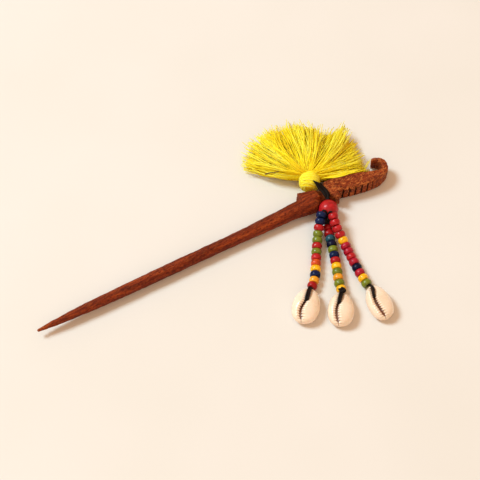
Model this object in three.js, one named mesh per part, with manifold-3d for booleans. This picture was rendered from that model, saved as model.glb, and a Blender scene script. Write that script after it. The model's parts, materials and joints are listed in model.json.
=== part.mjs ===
// Decorative hair pin: a carved wooden stick with an elephant-trunk head, a yellow tassel on one
// side of the head, and a pendant of three beaded strands with cowrie shells on the other side.
//
// Units are millimetres.  The pin lies flat: +X runs from its point to the curled trunk, +Z is up,
// and the strands lie towards -Y.  The origin is on the flat underside of the head.

import * as THREE from "three";
import { mergeVertices } from "three/addons/utils/BufferGeometryUtils.js";
import Module from "manifold-3d";

const wasm = await Module();
wasm.setup();

// ---------------------------------------------------------------- main dimensions
const TIP_X = -164; // point of the stick
const HEAD_THICKNESS = 8.4;
const GAP = 0.35; // clearance between neighbouring pieces

const SMALL_BEAD_RADIUS = 2.5;
const SMALL_BEAD_HALF_THICKNESS = 1.4;
const SMALL_BEAD_BORE = 0.75;
const CORD_RADIUS = 0.45;

const LARGE_BEAD_RADIUS = 4.85;
const LARGE_BEAD_CENTRE = new THREE.Vector3(-12.35, -7.8, 4.95);
const LARGE_BEAD_BORE = 1.6;

const KNOT_CENTRE = new THREE.Vector3(-16.05, -12.65, 2.4);
const KNOT_RADIUS = 1.35;

const MATERIALS = {
  wood: new THREE.MeshStandardMaterial({ color: 0x7a3216, roughness: 0.6 }),
  cotton: new THREE.MeshStandardMaterial({ color: 0xf2cf10, roughness: 0.9 }),
  cord: new THREE.MeshStandardMaterial({ color: 0x15120f, roughness: 0.7 }),
  shell: new THREE.MeshStandardMaterial({ color: 0xf0dcc4, roughness: 0.25 }),
  red: new THREE.MeshStandardMaterial({ color: 0xb81420, roughness: 0.35 }),
  crimson: new THREE.MeshStandardMaterial({ color: 0xa81838, roughness: 0.35 }),
  dark_red: new THREE.MeshStandardMaterial({ color: 0x7c1018, roughness: 0.35 }),
  blue: new THREE.MeshStandardMaterial({ color: 0x123a78, roughness: 0.3 }),
  navy: new THREE.MeshStandardMaterial({ color: 0x111a4a, roughness: 0.3 }),
  teal: new THREE.MeshStandardMaterial({ color: 0x2c6470, roughness: 0.35 }),
  green: new THREE.MeshStandardMaterial({ color: 0x6a9018, roughness: 0.35 }),
  yellow: new THREE.MeshStandardMaterial({ color: 0xf4c410, roughness: 0.35 }),
  amber: new THREE.MeshStandardMaterial({ color: 0xe89a1c, roughness: 0.35 }),
  orange: new THREE.MeshStandardMaterial({ color: 0xd8501c, roughness: 0.35 }),
};

// ---------------------------------------------------------------- solid helpers
function toSolid(geometry) {
  const bare = geometry.clone();
  bare.deleteAttribute("normal");
  bare.deleteAttribute("uv");
  const welded = mergeVertices(bare, 1e-4);
  return new wasm.Manifold(new wasm.Mesh({
    numProp: 3,
    vertProperties: new Float32Array(welded.attributes.position.array),
    triVerts: new Uint32Array(welded.index.array),
  }));
}

function toGeometry(solid) {
  const mesh = solid.getMesh();
  const geometry = new THREE.BufferGeometry();
  geometry.setAttribute("position", new THREE.BufferAttribute(new Float32Array(mesh.vertProperties), 3));
  geometry.setIndex(new THREE.BufferAttribute(new Uint32Array(mesh.triVerts), 1));
  geometry.computeVertexNormals();
  return geometry;
}

// A closed polygon in the XY plane, raised from z0 to z1.
function prism(points, z0, z1) {
  const shape = new THREE.Shape(points.map(([x, y]) => new THREE.Vector2(x, y)));
  const geometry = new THREE.ExtrudeGeometry(shape, { depth: z1 - z0, bevelEnabled: false });
  return toSolid(geometry.translate(0, 0, z0));
}

// A closed polygon in the XZ plane, swept from y0 to y1.
function prismAlongY(points, y0, y1) {
  const shape = new THREE.Shape(points.map(([x, z]) => new THREE.Vector2(x, z)));
  const geometry = new THREE.ExtrudeGeometry(shape, { depth: y1 - y0, bevelEnabled: false });
  geometry.rotateX(Math.PI / 2);
  return toSolid(geometry.translate(0, y1, 0));
}

// A skin over equal rings of points, closed at both ends.
function loft(rings) {
  const count = rings[0].length;
  const positions = rings.flat().flatMap((point) => point.toArray());
  const indices = [];
  for (let ring = 0; ring + 1 < rings.length; ring += 1) {
    for (let i = 0; i < count; i += 1) {
      const a = ring * count + i;
      const b = ring * count + ((i + 1) % count);
      indices.push(a, b, a + count, b, b + count, a + count);
    }
  }
  const last = (rings.length - 1) * count;
  for (let i = 1; i + 1 < count; i += 1) {
    indices.push(0, i + 1, i, last, last + i, last + i + 1);
  }
  const geometry = new THREE.BufferGeometry();
  geometry.setAttribute("position", new THREE.Float32BufferAttribute(positions, 3));
  geometry.setIndex(indices);
  return geometry;
}

// A round tube that tapers along a smooth curve; radiusAt gives the radius at each share of its length.
function tube(curve, radiusAt, steps, sides) {
  const frames = curve.computeFrenetFrames(steps, false);
  const rings = [];
  for (let step = 0; step <= steps; step += 1) {
    const share = step / steps;
    const centre = curve.getPointAt(share);
    const ring = [];
    for (let i = 0; i < sides; i += 1) {
      const angle = (i / sides) * 2 * Math.PI;
      ring.push(centre.clone()
        .addScaledVector(frames.normals[step], radiusAt(share) * Math.cos(angle))
        .addScaledVector(frames.binormals[step], radiusAt(share) * Math.sin(angle)));
    }
    rings.push(ring);
  }
  return loft(rings);
}

// A round tube of one radius along a smooth curve.
function cordTube(curve, radius, steps) {
  const sides = 8;
  const section = [];
  for (let i = 0; i < sides; i += 1) {
    const angle = (i / sides) * 2 * Math.PI;
    section.push(new THREE.Vector2(radius * Math.cos(angle), radius * Math.sin(angle)));
  }
  const settings = { steps, extrudePath: curve, bevelEnabled: false };
  return new THREE.ExtrudeGeometry(new THREE.Shape(section), settings);
}

function curveThrough(points) {
  const vectors = points.map((point) => new THREE.Vector3(...point));
  return new THREE.CatmullRomCurve3(vectors, false, "centripetal");
}

function smoothstep(value, low, high) {
  const t = Math.min(1, Math.max(0, (value - low) / (high - low)));
  return t * t * (3 - 2 * t);
}

function mix(a, b, share) {
  return a + (b - a) * share;
}

const group = new THREE.Group();

function addMesh(name, geometry, material) {
  const mesh = new THREE.Mesh(geometry, material);
  mesh.name = name;
  group.add(mesh);
  return mesh;
}

// ---------------------------------------------------------------- carved pin
// Plan outline of the carved head, counter-clockwise.
const TRUNK_NEAR_EDGE = [
  [-2.4, -2.9], [1.4, -4.1], [5.0, -4.8], [8.5, -5.4], [12.2, -5.9], [15.4, -6.2], [19.6, -5.9],
];
const CURL = [
  [22.4, -4.9], [24.6, -3.6], [26.3, -1.6], [27.0, 0.9], [26.6, 3.3], [25.2, 5.2], [23.3, 6.3],
  [21.3, 6.6], [20.6, 5.2], [22.2, 4.6], [23.4, 3.3], [23.8, 1.8], [23.4, 0.3], [22.3, -0.8],
];
const HEAD_OUTLINE = [
  [-22.2, 0.6], [-14.0, -0.9], [-12.4, -1.2], [-8.6, -1.6], [-7.4, -3.2], [-6.7, -4.8],
  [-6.2, -5.4], [-4.7, -5.5], [-3.9, -4.9], [-3.4, -2.9],
  ...TRUNK_NEAR_EDGE,
  ...CURL,
  [20.8, -0.9], [18.7, -0.3], [15.5, 0.8], [9.5, 3.0], [4.9, 4.7], [0.0, 5.7], [-5.0, 6.0],
  [-7.6, 5.8], [-8.2, 4.8], [-9.2, 3.6], [-12.2, 3.6], [-17.0, 4.9], [-22.2, 6.3],
];
const NOTCH_FIRST_X = -1.3;
const NOTCH_PITCH = 3.2;
const NOTCH_COUNT = 5;

function trunkNearEdgeAt(x) {
  const index = TRUNK_NEAR_EDGE.findIndex(([edgeX]) => edgeX > x);
  const [x0, y0] = TRUNK_NEAR_EDGE[index - 1];
  const [x1, y1] = TRUNK_NEAR_EDGE[index];
  return mix(y0, y1, (x - x0) / (x1 - x0));
}

function shaftDiameter(fromTip) {
  const taper = 1.3 + 4.6 * (1 - Math.exp(-fromTip / 19));
  return taper + 2.4 * smoothstep(fromTip, 95, 153);
}

// Height of the shaft's centre line: the stick bears on the table near the head and its point
// stands clear of the table.
function shaftCentreZ(x) {
  if (x > -45) {
    return mix(3.5, 4.2, smoothstep(x, -45, -20));
  }
  return mix(4.0, 3.5, (x - TIP_X) / (-45 - TIP_X));
}

function shaftSolid() {
  const sides = 14;
  const stations = [0, 1.5, 4, 8, 13, 19, 27, 38, 52, 70, 90, 104, 114, 122, 129, 135, 140, 144, 147];
  const rings = stations.map((fromTip) => {
    const x = TIP_X + fromTip;
    const radius = shaftDiameter(fromTip) / 2;
    const shoulder = 1.5 * smoothstep(x, -30, -18);
    return shaftRing(x, -shoulder / 2, shaftCentreZ(x), radius + shoulder / 2, radius, sides);
  });
  rings.push(shaftRing(-15.4, -0.5, 4.1, 4.2, 3.9, sides));
  rings.push(shaftRing(-13.2, -0.2, 3.6, 3.0, 3.2, sides));
  rings.push(shaftRing(-11.0, 0.4, 2.9, 1.6, 2.2, sides));
  return toSolid(loft(rings));
}

function shaftRing(x, y, z, halfWidth, halfHeight, sides) {
  const ring = [];
  for (let i = 0; i < sides; i += 1) {
    const angle = ((i + 0.5) / sides) * 2 * Math.PI;
    ring.push(new THREE.Vector3(x, y + halfWidth * Math.cos(angle), z + halfHeight * Math.sin(angle)));
  }
  return ring;
}

function notchSolid(x) {
  const edge = trunkNearEdgeAt(x);
  const wedge = [[x - 0.55, edge - 0.8], [x + 0.55, edge - 0.8], [x, edge + 0.9]];
  return prism(wedge, -1, HEAD_THICKNESS + 1);
}

function beadRecess() {
  const ball = new THREE.SphereGeometry(LARGE_BEAD_RADIUS + GAP, 28, 18);
  return toSolid(ball.translate(...LARGE_BEAD_CENTRE.toArray()));
}

function carvedPin() {
  const slab = prism([[-200, -20], [60, -20], [60, 20], [-200, 20]], 0, HEAD_THICKNESS);
  const groove = prismAlongY([[-15.2, 9], [-12.3, 5.6], [-8.1, 5.6], [-7.8, 9]], -6, 9);
  let solid = prism(HEAD_OUTLINE, 0, HEAD_THICKNESS)
    .add(shaftSolid())
    .intersect(slab)
    .subtract(groove)
    .subtract(beadRecess());
  for (let i = 0; i < NOTCH_COUNT; i += 1) {
    solid = solid.subtract(notchSolid(NOTCH_FIRST_X + i * NOTCH_PITCH));
  }
  return solid;
}

addMesh("carved_pin", toGeometry(carvedPin()), MATERIALS.wood);

// ---------------------------------------------------------------- cord bundle on the head
const HANGER_CURVE = curveThrough([
  [-12.3, 8.2, 10.9], [-11.5, 6.3, 9.7], [-10.6, 4.4, 8.2], [-10.0, 2.2, 7.45], [-9.7, 0.3, 7.4],
]);
const PENDANT_CURVE = curveThrough([
  [-9.65, -0.5, 7.35], [-9.85, -2.0, 7.0], [-10.9, -4.9, 6.0], [-12.35, -7.8, 4.95],
  [-13.9, -10.0, 3.8], [-14.9, -11.25, 3.15],
]);

function hangerRadius(share) {
  return mix(0.45, 1.5, smoothstep(share, 0, 0.55));
}

function pendantRadius(share) {
  return mix(1.4, 0.85, smoothstep(share, 0.02, 0.26));
}

addMesh("hanger_cord", tube(HANGER_CURVE, hangerRadius, 14, 10), MATERIALS.cord);
addMesh("pendant_cord", tube(PENDANT_CURVE, pendantRadius, 16, 10), MATERIALS.cord);

// ---------------------------------------------------------------- tassel
const TASSEL_HEADING = new THREE.Vector3(0.4825, 0.876, 0); // from the head into the threads
const TASSEL_ACROSS = new THREE.Vector3(0.876, -0.4825, 0);
const NECK_START = new THREE.Vector3(-14.6, 6.5, 5.75);
const NECK_LENGTH = 8.0;
const NECK_RADIUS = 5.5;
const THREAD_LENGTH = 35;
const THREAD_BEARINGS = [-44, 111]; // first and last threads, as turns from +Y towards +X

function neckGeometry() {
  const profile = [
    [0, 0], [2.4, 0.3], [4.2, 1.5], [5.2, 3.0], [NECK_RADIUS, 4.6], [5.35, 6.4],
    [4.9, NECK_LENGTH], [0, NECK_LENGTH],
  ].map(([radius, along]) => new THREE.Vector2(radius, along));
  const lathe = new THREE.LatheGeometry(profile, 24);
  const turn = new THREE.Quaternion().setFromUnitVectors(new THREE.Vector3(0, 1, 0), TASSEL_HEADING);
  lathe.applyQuaternion(turn);
  lathe.translate(NECK_START.x, NECK_START.y, NECK_START.z);
  const cordRoom = tube(HANGER_CURVE, (share) => hangerRadius(share) + GAP, 14, 10);
  const open = curveThrough([[-12.9, 9.4, 11.6], [-12.3, 8.2, 10.9], [-11.8, 7.0, 10.2]]);
  const cordEnd = tube(open, () => 0.8, 6, 10);
  return toGeometry(toSolid(lathe).subtract(toSolid(cordRoom)).subtract(toSolid(cordEnd)));
}

// The threads spread like a fan: share 0 is the side towards the pin's point, share 1 lies along
// the trunk.
function skirtPoint(share, outward, top) {
  const mouth = NECK_START.clone().addScaledVector(TASSEL_HEADING, NECK_LENGTH + GAP);
  const start = mouth.clone().addScaledVector(TASSEL_ACROSS, (share - 0.5) * 9.4);
  const bearing = THREE.MathUtils.degToRad(mix(...THREAD_BEARINGS, share));
  const reach = THREAD_LENGTH - 3 * smoothstep(share, 0.4, 0.6);
  const end = mouth.clone();
  end.x += reach * Math.sin(bearing);
  end.y += reach * Math.cos(bearing);
  const point = start.lerp(end, outward);
  const crown = 0.7 + 0.3 * Math.sin(Math.PI * share);
  point.z = top ? mix(10.2, 5.2, outward ** 0.7) * crown : 0.35;
  return point;
}

function skirtGeometry() {
  const across = 14;
  const outwards = 5;
  const rings = [];
  for (let i = 0; i <= across; i += 1) {
    const ring = [];
    for (let j = 0; j <= outwards; j += 1) {
      ring.push(skirtPoint(i / across, j / outwards, false));
    }
    for (let j = outwards; j >= 0; j -= 1) {
      ring.push(skirtPoint(i / across, j / outwards, true));
    }
    rings.push(ring);
  }
  return loft(rings);
}

addMesh("tassel_neck", neckGeometry(), MATERIALS.cotton);
addMesh("tassel_skirt", skirtGeometry(), MATERIALS.cotton);

// ---------------------------------------------------------------- large bead and knot
function latheRing(profile, sides) {
  const points = profile.map(([radius, along]) => new THREE.Vector2(radius, along));
  return new THREE.LatheGeometry([...points, points[0].clone()], sides);
}

function placeOnAxis(mesh, centre, axis) {
  mesh.position.copy(centre);
  mesh.quaternion.setFromUnitVectors(new THREE.Vector3(0, 1, 0), axis.clone().normalize());
}

function largeBeadGeometry() {
  const profile = [];
  const poleAngle = Math.asin(LARGE_BEAD_BORE / LARGE_BEAD_RADIUS);
  const steps = 10;
  for (let i = 0; i <= steps; i += 1) {
    const angle = mix(poleAngle, Math.PI - poleAngle, i / steps);
    profile.push([LARGE_BEAD_RADIUS * Math.sin(angle), -LARGE_BEAD_RADIUS * Math.cos(angle)]);
  }
  return latheRing(profile, 28);
}

const largeBeadAxis = PENDANT_CURVE.getPointAt(0.9).sub(PENDANT_CURVE.getPointAt(0.3));
placeOnAxis(addMesh("large_bead", largeBeadGeometry(), MATERIALS.red), LARGE_BEAD_CENTRE, largeBeadAxis);

const knot = addMesh("strand_knot", new THREE.IcosahedronGeometry(KNOT_RADIUS, 2), MATERIALS.cord);
knot.position.copy(KNOT_CENTRE);

// ---------------------------------------------------------------- beaded strands
const BEAD_PROFILE = [
  [SMALL_BEAD_BORE, -1.25], [1.5, -SMALL_BEAD_HALF_THICKNESS], [2.15, -1.1], [SMALL_BEAD_RADIUS, -0.4],
  [SMALL_BEAD_RADIUS, 0.4], [2.15, 1.1], [1.5, SMALL_BEAD_HALF_THICKNESS], [SMALL_BEAD_BORE, 1.25],
];

// path: the run of the cord from just behind the first bead to just past the last one.
// pitch: distance between beads.  heading: the way the shell points, as a turn from -Y towards -X.
const FIRST_BEAD = 1.5; // distance of the first bead along the path
const BEADS_ABOVE_BEND = 6; // beads above the joint in the middle of a strand
const STRANDS = {
  left: {
    path: [
      [-17.45, -9.5, 8.35], [-18.45, -10.65, 8.0], [-20.4, -12.85, 6.95], [-22.15, -14.8, 5.6],
      [-23.9, -17.0, 4.4], [-26.0, -20.0, 3.3], [-28.9, -24.2, 2.65], [-33.2, -30.8, 2.55],
      [-36.9, -36.2, 2.55], [-39.3, -38.9, 2.55], [-41.5, -40.7, 2.55],
    ],
    pitch: 3.17,
    colours: ["blue", "blue", "red", "green", "green", "red", "green", "red", "orange", "yellow",
      "blue", "amber", "dark_red"],
    shell: { x: -49.0, y: -48.3, heading: 42, length: 18.6, width: 13.1 },
  },
  middle: {
    path: [
      [-16.75, -14.5, 2.6], [-17.35, -15.9, 2.55], [-18.7, -19.3, 2.55], [-19.8, -22.3, 2.55],
      [-22.6, -30.2, 2.55], [-25.4, -37.2, 2.55], [-28.3, -43.8, 2.55], [-30.0, -49.4, 2.55],
    ],
    pitch: 3.14,
    colours: ["dark_red", "dark_red", "teal", "navy", "green", "blue", "red", "yellow", "green",
      "amber", "green", "yellow"],
    shell: { x: -35.7, y: -57.75, heading: 33, length: 17.6, width: 12.4 },
  },
  right: {
    path: [
      [-13.35, -12.8, 8.65], [-13.75, -14.2, 8.25], [-14.5, -17.0, 7.3], [-14.85, -19.8, 6.15],
      [-14.85, -22.5, 4.9], [-14.95, -25.6, 3.65], [-15.2, -28.8, 2.8], [-15.9, -34.2, 2.55],
      [-16.7, -40.8, 2.55], [-17.3, -46.6, 2.55], [-17.5, -52.7, 2.55],
    ],
    pitch: 3.2,
    colours: ["red", "red", "red", "red", "yellow", "crimson", "crimson", "red", "crimson", "navy",
      "crimson", "yellow", "green"],
    shell: { x: -18.1, y: -63.25, heading: 8, length: 18.4, width: 11.6 },
  },
};

function beadDistance(strand, index) {
  return FIRST_BEAD + index * strand.pitch;
}

function partOfCurve(curve, from, to) {
  const total = curve.getLength();
  const points = [];
  const steps = Math.max(2, Math.round((to - from) / 1.6));
  for (let i = 0; i <= steps; i += 1) {
    points.push(curve.getPointAt(Math.min(1, mix(from, to, i / steps) / total)));
  }
  return new THREE.CatmullRomCurve3(points, false, "centripetal");
}

function addStrand(side, strand) {
  const curve = curveThrough(strand.path);
  curve.arcLengthDivisions = 800;
  const total = curve.getLength();
  strand.colours.forEach((colour, index) => {
    const share = beadDistance(strand, index) / total;
    const number = String(index + 1).padStart(2, "0");
    const bead = addMesh(`bead_${side}_${number}`, latheRing(BEAD_PROFILE, 16), MATERIALS[colour]);
    placeOnAxis(bead, curve.getPointAt(share), curve.getTangentAt(share));
  });
  const bendAt = beadDistance(strand, BEADS_ABOVE_BEND - 0.5);
  const upper = partOfCurve(curve, 0, bendAt - GAP / 2);
  const lower = partOfCurve(curve, bendAt + GAP / 2, total);
  addMesh(`cord_${side}_upper`, cordTube(upper, CORD_RADIUS, 18), MATERIALS.cord);
  addMesh(`cord_${side}_lower`, cordTube(lower, CORD_RADIUS, 18), MATERIALS.cord);
}

// ---------------------------------------------------------------- cowrie shells
const SHELL_HEIGHT = 7.6;
const SHELL_RIM_Z = 3.4; // height at which the shell is widest

// Shell shape before placing: the strand end is at +Y, the front at -Y, and it sits on z = 0.
function shellGeometry(length, width) {
  const sides = 20;
  const rings = [];
  const steps = 12;
  for (let i = 0; i <= steps; i += 1) {
    const share = mix(-0.985, 0.985, i / steps);
    const girth = Math.sqrt(1 - Math.abs(share) ** 2.3);
    const egg = 1 - 0.08 * share;
    const ring = [];
    for (let k = 0; k < sides; k += 1) {
      const angle = (k / sides) * 2 * Math.PI;
      const up = Math.sin(angle);
      const height = up > 0 ? (SHELL_HEIGHT - SHELL_RIM_Z) : SHELL_RIM_Z * 1.25;
      ring.push(new THREE.Vector3(
        (-width / 2) * girth * egg * Math.cos(angle),
        (share * length) / 2,
        SHELL_RIM_Z + height * girth * up,
      ));
    }
    rings.push(ring);
  }
  const body = toSolid(loft(rings));
  const ground = prism([[-30, -30], [30, -30], [30, 30], [-30, 30]], 0, 20);
  const slit = prism([[-0.75, -0.44 * length], [0.75, -0.44 * length], [0.75, 0.4 * length],
    [-0.75, 0.4 * length]], SHELL_HEIGHT - 2.2, SHELL_HEIGHT + 2);
  return body.intersect(ground).subtract(slit);
}

// The cord end climbs over the strand end of the shell and dips into the slit.  Both ends can be
// made longer, for cutting the room that the cord lies in.
function tieCurve(length, longer) {
  const half = length / 2;
  return curveThrough([
    [0, half + 0.35, 3.6 - longer], [0, half - 0.4, 4.9], [0, half - 1.9, 6.4], [0, half - 4.6, 7.9],
    [0, half - 7.0, 8.2], [0, half - 8.2, 7.3], [0, half - 8.6, 6.2 - longer],
  ]);
}

function addShell(side, { x, y, heading, length, width }) {
  const tie = cordTube(tieCurve(length, 0), CORD_RADIUS, 18);
  const room = cordTube(tieCurve(length, GAP), CORD_RADIUS + GAP, 18);
  const shell = toGeometry(shellGeometry(length, width).subtract(toSolid(room)));
  const turn = THREE.MathUtils.degToRad(-heading);
  for (const [name, geometry, material] of [
    [`shell_${side}`, shell, MATERIALS.shell],
    [`tie_${side}`, tie, MATERIALS.cord],
  ]) {
    const mesh = addMesh(name, geometry, material);
    mesh.rotation.z = turn;
    mesh.position.set(x, y, 0);
  }
}

for (const [side, strand] of Object.entries(STRANDS)) {
  addStrand(side, strand);
  addShell(side, strand.shell);
}

export default group;
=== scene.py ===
"""Looks of the decorative hair pin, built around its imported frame.

Lengths are in millimetres until a mesh is made; MM turns them into metres.
"""

import json
import math

import bpy
import numpy as np
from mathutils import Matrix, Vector


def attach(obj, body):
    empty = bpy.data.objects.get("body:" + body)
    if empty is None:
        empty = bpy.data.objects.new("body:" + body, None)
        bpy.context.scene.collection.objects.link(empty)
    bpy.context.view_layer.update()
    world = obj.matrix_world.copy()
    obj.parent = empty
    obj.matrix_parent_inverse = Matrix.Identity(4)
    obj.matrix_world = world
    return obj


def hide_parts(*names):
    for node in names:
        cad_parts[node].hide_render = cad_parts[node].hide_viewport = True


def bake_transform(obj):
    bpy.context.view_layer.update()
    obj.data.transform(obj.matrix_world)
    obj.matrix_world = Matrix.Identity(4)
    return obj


MM = 0.001
UP = np.array([0.0, 0.0, 1.0])

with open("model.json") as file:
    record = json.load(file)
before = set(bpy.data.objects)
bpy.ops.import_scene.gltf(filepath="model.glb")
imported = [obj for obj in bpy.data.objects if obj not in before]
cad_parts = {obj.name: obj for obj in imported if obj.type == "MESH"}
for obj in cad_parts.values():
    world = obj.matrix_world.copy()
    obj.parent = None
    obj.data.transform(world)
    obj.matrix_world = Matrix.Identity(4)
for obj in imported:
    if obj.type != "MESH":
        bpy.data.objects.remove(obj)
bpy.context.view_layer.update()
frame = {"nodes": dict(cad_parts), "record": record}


# ---- small maths
def unit(vector):
    vector = np.asarray(vector, float)
    return vector / np.linalg.norm(vector)


def smoothstep(value, low, high):
    t = np.clip((value - low) / (high - low), 0, 1)
    return t * t * (3 - 2 * t)


def mix(a, b, share):
    return a + (b - a) * share


def smooth_min(a, b, radius):
    """The lower of two distances, with a fillet of about that radius where they meet."""
    h = np.clip(0.5 + 0.5 * (b - a) / radius, 0, 1)
    return mix(b, a, h) - radius * h * (1 - h)


def smooth_max(a, b, radius):
    return -smooth_min(-a, -b, radius)


def waves(points, lengths, seed, count=12):
    """Smooth noise of about unit size: random sine waves of these lengths in x, y and z."""
    rng = np.random.default_rng(seed)
    turns = rng.normal(size=(count, 3)) * 4 / np.array(lengths)
    phases = rng.uniform(0, 2 * np.pi, count)
    return np.sin(points @ turns.T + phases).sum(1) * math.sqrt(2 / count)


def bearing(degrees):
    """A level direction, turned from +Y towards +X."""
    angle = math.radians(degrees)
    return np.array([math.sin(angle), math.cos(angle), 0.0])


def around(angle, side, over):
    """Directions at these angles, turned from side towards over."""
    return np.cos(angle)[:, None] * side + np.sin(angle)[:, None] * over


def turn_angles(count):
    """That many even steps of one full turn."""
    return np.arange(count) / count * 2 * np.pi


def distance_along(line):
    """How far along the line each of its points is."""
    return np.concatenate([[0], np.cumsum(np.linalg.norm(np.diff(line, axis=0), axis=1))])


def smooth_path(points, spacing):
    """A smooth curve through points, as points about spacing apart (centripetal Catmull-Rom)."""
    points = np.asarray(points, float)
    ends = [2 * points[0] - points[1], *points, 2 * points[-1] - points[-2]]
    fine = []
    for a, b, c, d in zip(ends, ends[1:], ends[2:], ends[3:]):
        knots = np.cumsum([0, *(np.linalg.norm(q - p) ** 0.5 for p, q in ((a, b), (b, c), (c, d)))])
        for t in np.linspace(knots[1], knots[2], 24, endpoint=False):
            ab = mix(a, b, t / knots[1])
            bc = mix(b, c, (t - knots[1]) / (knots[2] - knots[1]))
            cd = mix(c, d, (t - knots[2]) / (knots[3] - knots[2]))
            abc = mix(ab, bc, t / knots[2])
            bcd = mix(bc, cd, (t - knots[1]) / (knots[3] - knots[1]))
            fine.append(mix(abc, bcd, (t - knots[1]) / (knots[2] - knots[1])))
    fine.append(points[-1])
    return respaced(np.array(fine), spacing)


def respaced(line, spacing):
    along = distance_along(line)
    at = np.linspace(0, along[-1], max(3, round(along[-1] / spacing) + 1))
    return np.stack([np.interp(at, along, line[:, k]) for k in range(3)], axis=1)


# ---- meshes
def add_object(name, data):
    made = bpy.data.objects.new(name, data)
    bpy.context.scene.collection.objects.link(made)
    return made


def make_object(name, vertices, faces, material):
    mesh = bpy.data.meshes.new(name)
    mesh.from_pydata((np.asarray(vertices) * MM).tolist(), [], [list(face) for face in faces])
    mesh.materials.append(material)
    mesh.shade_smooth()
    return add_object(name, mesh)


def paint(made, name, values):
    """Stores one number per vertex for the material to read."""
    attribute = made.data.attributes.new(name, "FLOAT", "POINT")
    attribute.data.foreach_set("value", np.asarray(values, np.float32))


def surface_net(values, low, step):
    """Vertices and faces of the surface where values, on a grid, change sign."""
    inside = values < 0
    shape = np.array(values.shape) - 1
    filled = np.zeros(shape, np.int8)
    for corner in np.ndindex(2, 2, 2):
        window = tuple(slice(c, c + n) for c, n in zip(corner, shape))
        filled += inside[window]
    cells = np.argwhere((filled > 0) & (filled < 8))
    index = np.full(shape, -1)
    index[tuple(cells.T)] = np.arange(len(cells))

    total = np.zeros((len(cells), 3))
    hits = np.zeros((len(cells), 1))
    for axis in range(3):
        along = np.eye(3, dtype=int)[axis]
        across = [np.eye(3, dtype=int)[k] for k in range(3) if k != axis]
        for a, b in np.ndindex(2, 2):
            start = cells + a * across[0] + b * across[1]
            v0 = values[tuple(start.T)]
            v1 = values[tuple((start + along).T)]
            crosses = ((v0 < 0) != (v1 < 0))[:, None]
            share = v0 / np.where(v0 == v1, 1, v0 - v1)
            total += crosses * (start + share[:, None] * along)
            hits += crosses
    vertices = low + step * total / hits

    quads = []
    for axis in range(3):
        u, v = (axis + 1) % 3, (axis + 2) % 3
        lower = [slice(1, -1)] * 3
        upper = [slice(1, -1)] * 3
        lower[axis] = slice(0, -1)
        upper[axis] = slice(1, None)
        at = np.argwhere(inside[tuple(lower)] != inside[tuple(upper)])
        at[:, u] += 1
        at[:, v] += 1
        outward = inside[tuple(at.T)]
        step_u, step_v = np.eye(3, dtype=int)[u], np.eye(3, dtype=int)[v]
        ring = [index[tuple(c.T)] for c in (at - step_u - step_v, at - step_v, at, at - step_u)]
        quad = np.stack(ring, 1)
        quads.append(np.where(outward[:, None], quad, quad[:, ::-1]))
    return vertices, np.concatenate(quads)


def slope_of(field, points, reach):
    return np.stack([(field(points + reach * e) - field(points - reach * e)) / (2 * reach)
                     for e in np.eye(3)], 1)


SLAB_LAYERS = 12
SETTLING_ROUNDS = 4


def sculpt(field, low, high, step):
    """The surface where field(points) is zero, as vertices and faces.

    The field is read on a grid, slab by slab, and the vertices then settle onto its zero.
    """
    low = np.array(low, float)
    counts = np.ceil((np.array(high) - low) / step).astype(int) + 1
    grid_x, grid_y, grid_z = (low[k] + step * np.arange(counts[k]) for k in range(3))
    plane = np.stack(np.meshgrid(grid_y, grid_z, indexing="ij"), -1).reshape(-1, 2)
    values = np.empty(counts)
    for first in range(0, counts[0], SLAB_LAYERS):
        xs = grid_x[first:first + SLAB_LAYERS]
        slab = np.concatenate([np.column_stack([np.full(len(plane), x), plane]) for x in xs])
        values[first:first + SLAB_LAYERS] = field(slab).reshape(len(xs), counts[1], counts[2])
    start, faces = surface_net(values, low, step)
    vertices = start
    for _ in range(SETTLING_ROUNDS):
        slope = slope_of(field, vertices, step / 3)
        move = -field(vertices)[:, None] * slope / np.maximum((slope ** 2).sum(1), 0.05)[:, None]
        moved = vertices + move - start
        length = np.linalg.norm(moved, axis=1, keepdims=True)
        vertices = start + moved * np.minimum(1, 0.8 * step / np.maximum(length, 1e-9))
    return vertices, faces


def convexity(field, points, reach):
    """Above 0 on outer edges and below 0 in hollows, from how the field curves."""
    centre = field(points)
    nearby = sum(field(points + s * reach * e) for e in np.eye(3) for s in (-1, 1))
    return (nearby - 6 * centre) / reach


def tube_frames(line):
    """Unit vectors across a line at each of its points, turned as little as possible."""
    tangents = np.gradient(line, axis=0)
    tangents /= np.linalg.norm(tangents, axis=1, keepdims=True)
    seed = UP if abs(tangents[0] @ UP) < 0.9 else np.array([1.0, 0, 0])
    side = unit(np.cross(tangents[0], seed))
    sides = []
    for tangent in tangents:
        side = unit(side - tangent * (side @ tangent))
        sides.append(side)
    sides = np.array(sides)
    return sides, np.cross(tangents, sides)


def grid_faces(rows, columns):
    """Faces of a skin over rows of points, each row a closed ring."""
    row, column = np.meshgrid(np.arange(rows - 1), np.arange(columns), indexing="ij")
    a = (row * columns + column).ravel()
    b = (row * columns + (column + 1) % columns).ravel()
    return np.stack([a, b, b + columns, a + columns], 1)


def capped_faces(rows, columns):
    """Faces of such a skin with closed ends, whose middles are two more points after the rows."""
    faces = grid_faces(rows, columns).tolist()
    start, end = rows * columns, rows * columns + 1
    last = (rows - 1) * columns
    for i in range(columns):
        j = (i + 1) % columns
        faces.append([start, j, i])
        faces.append([end, last + i, last + j])
    return faces


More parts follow.
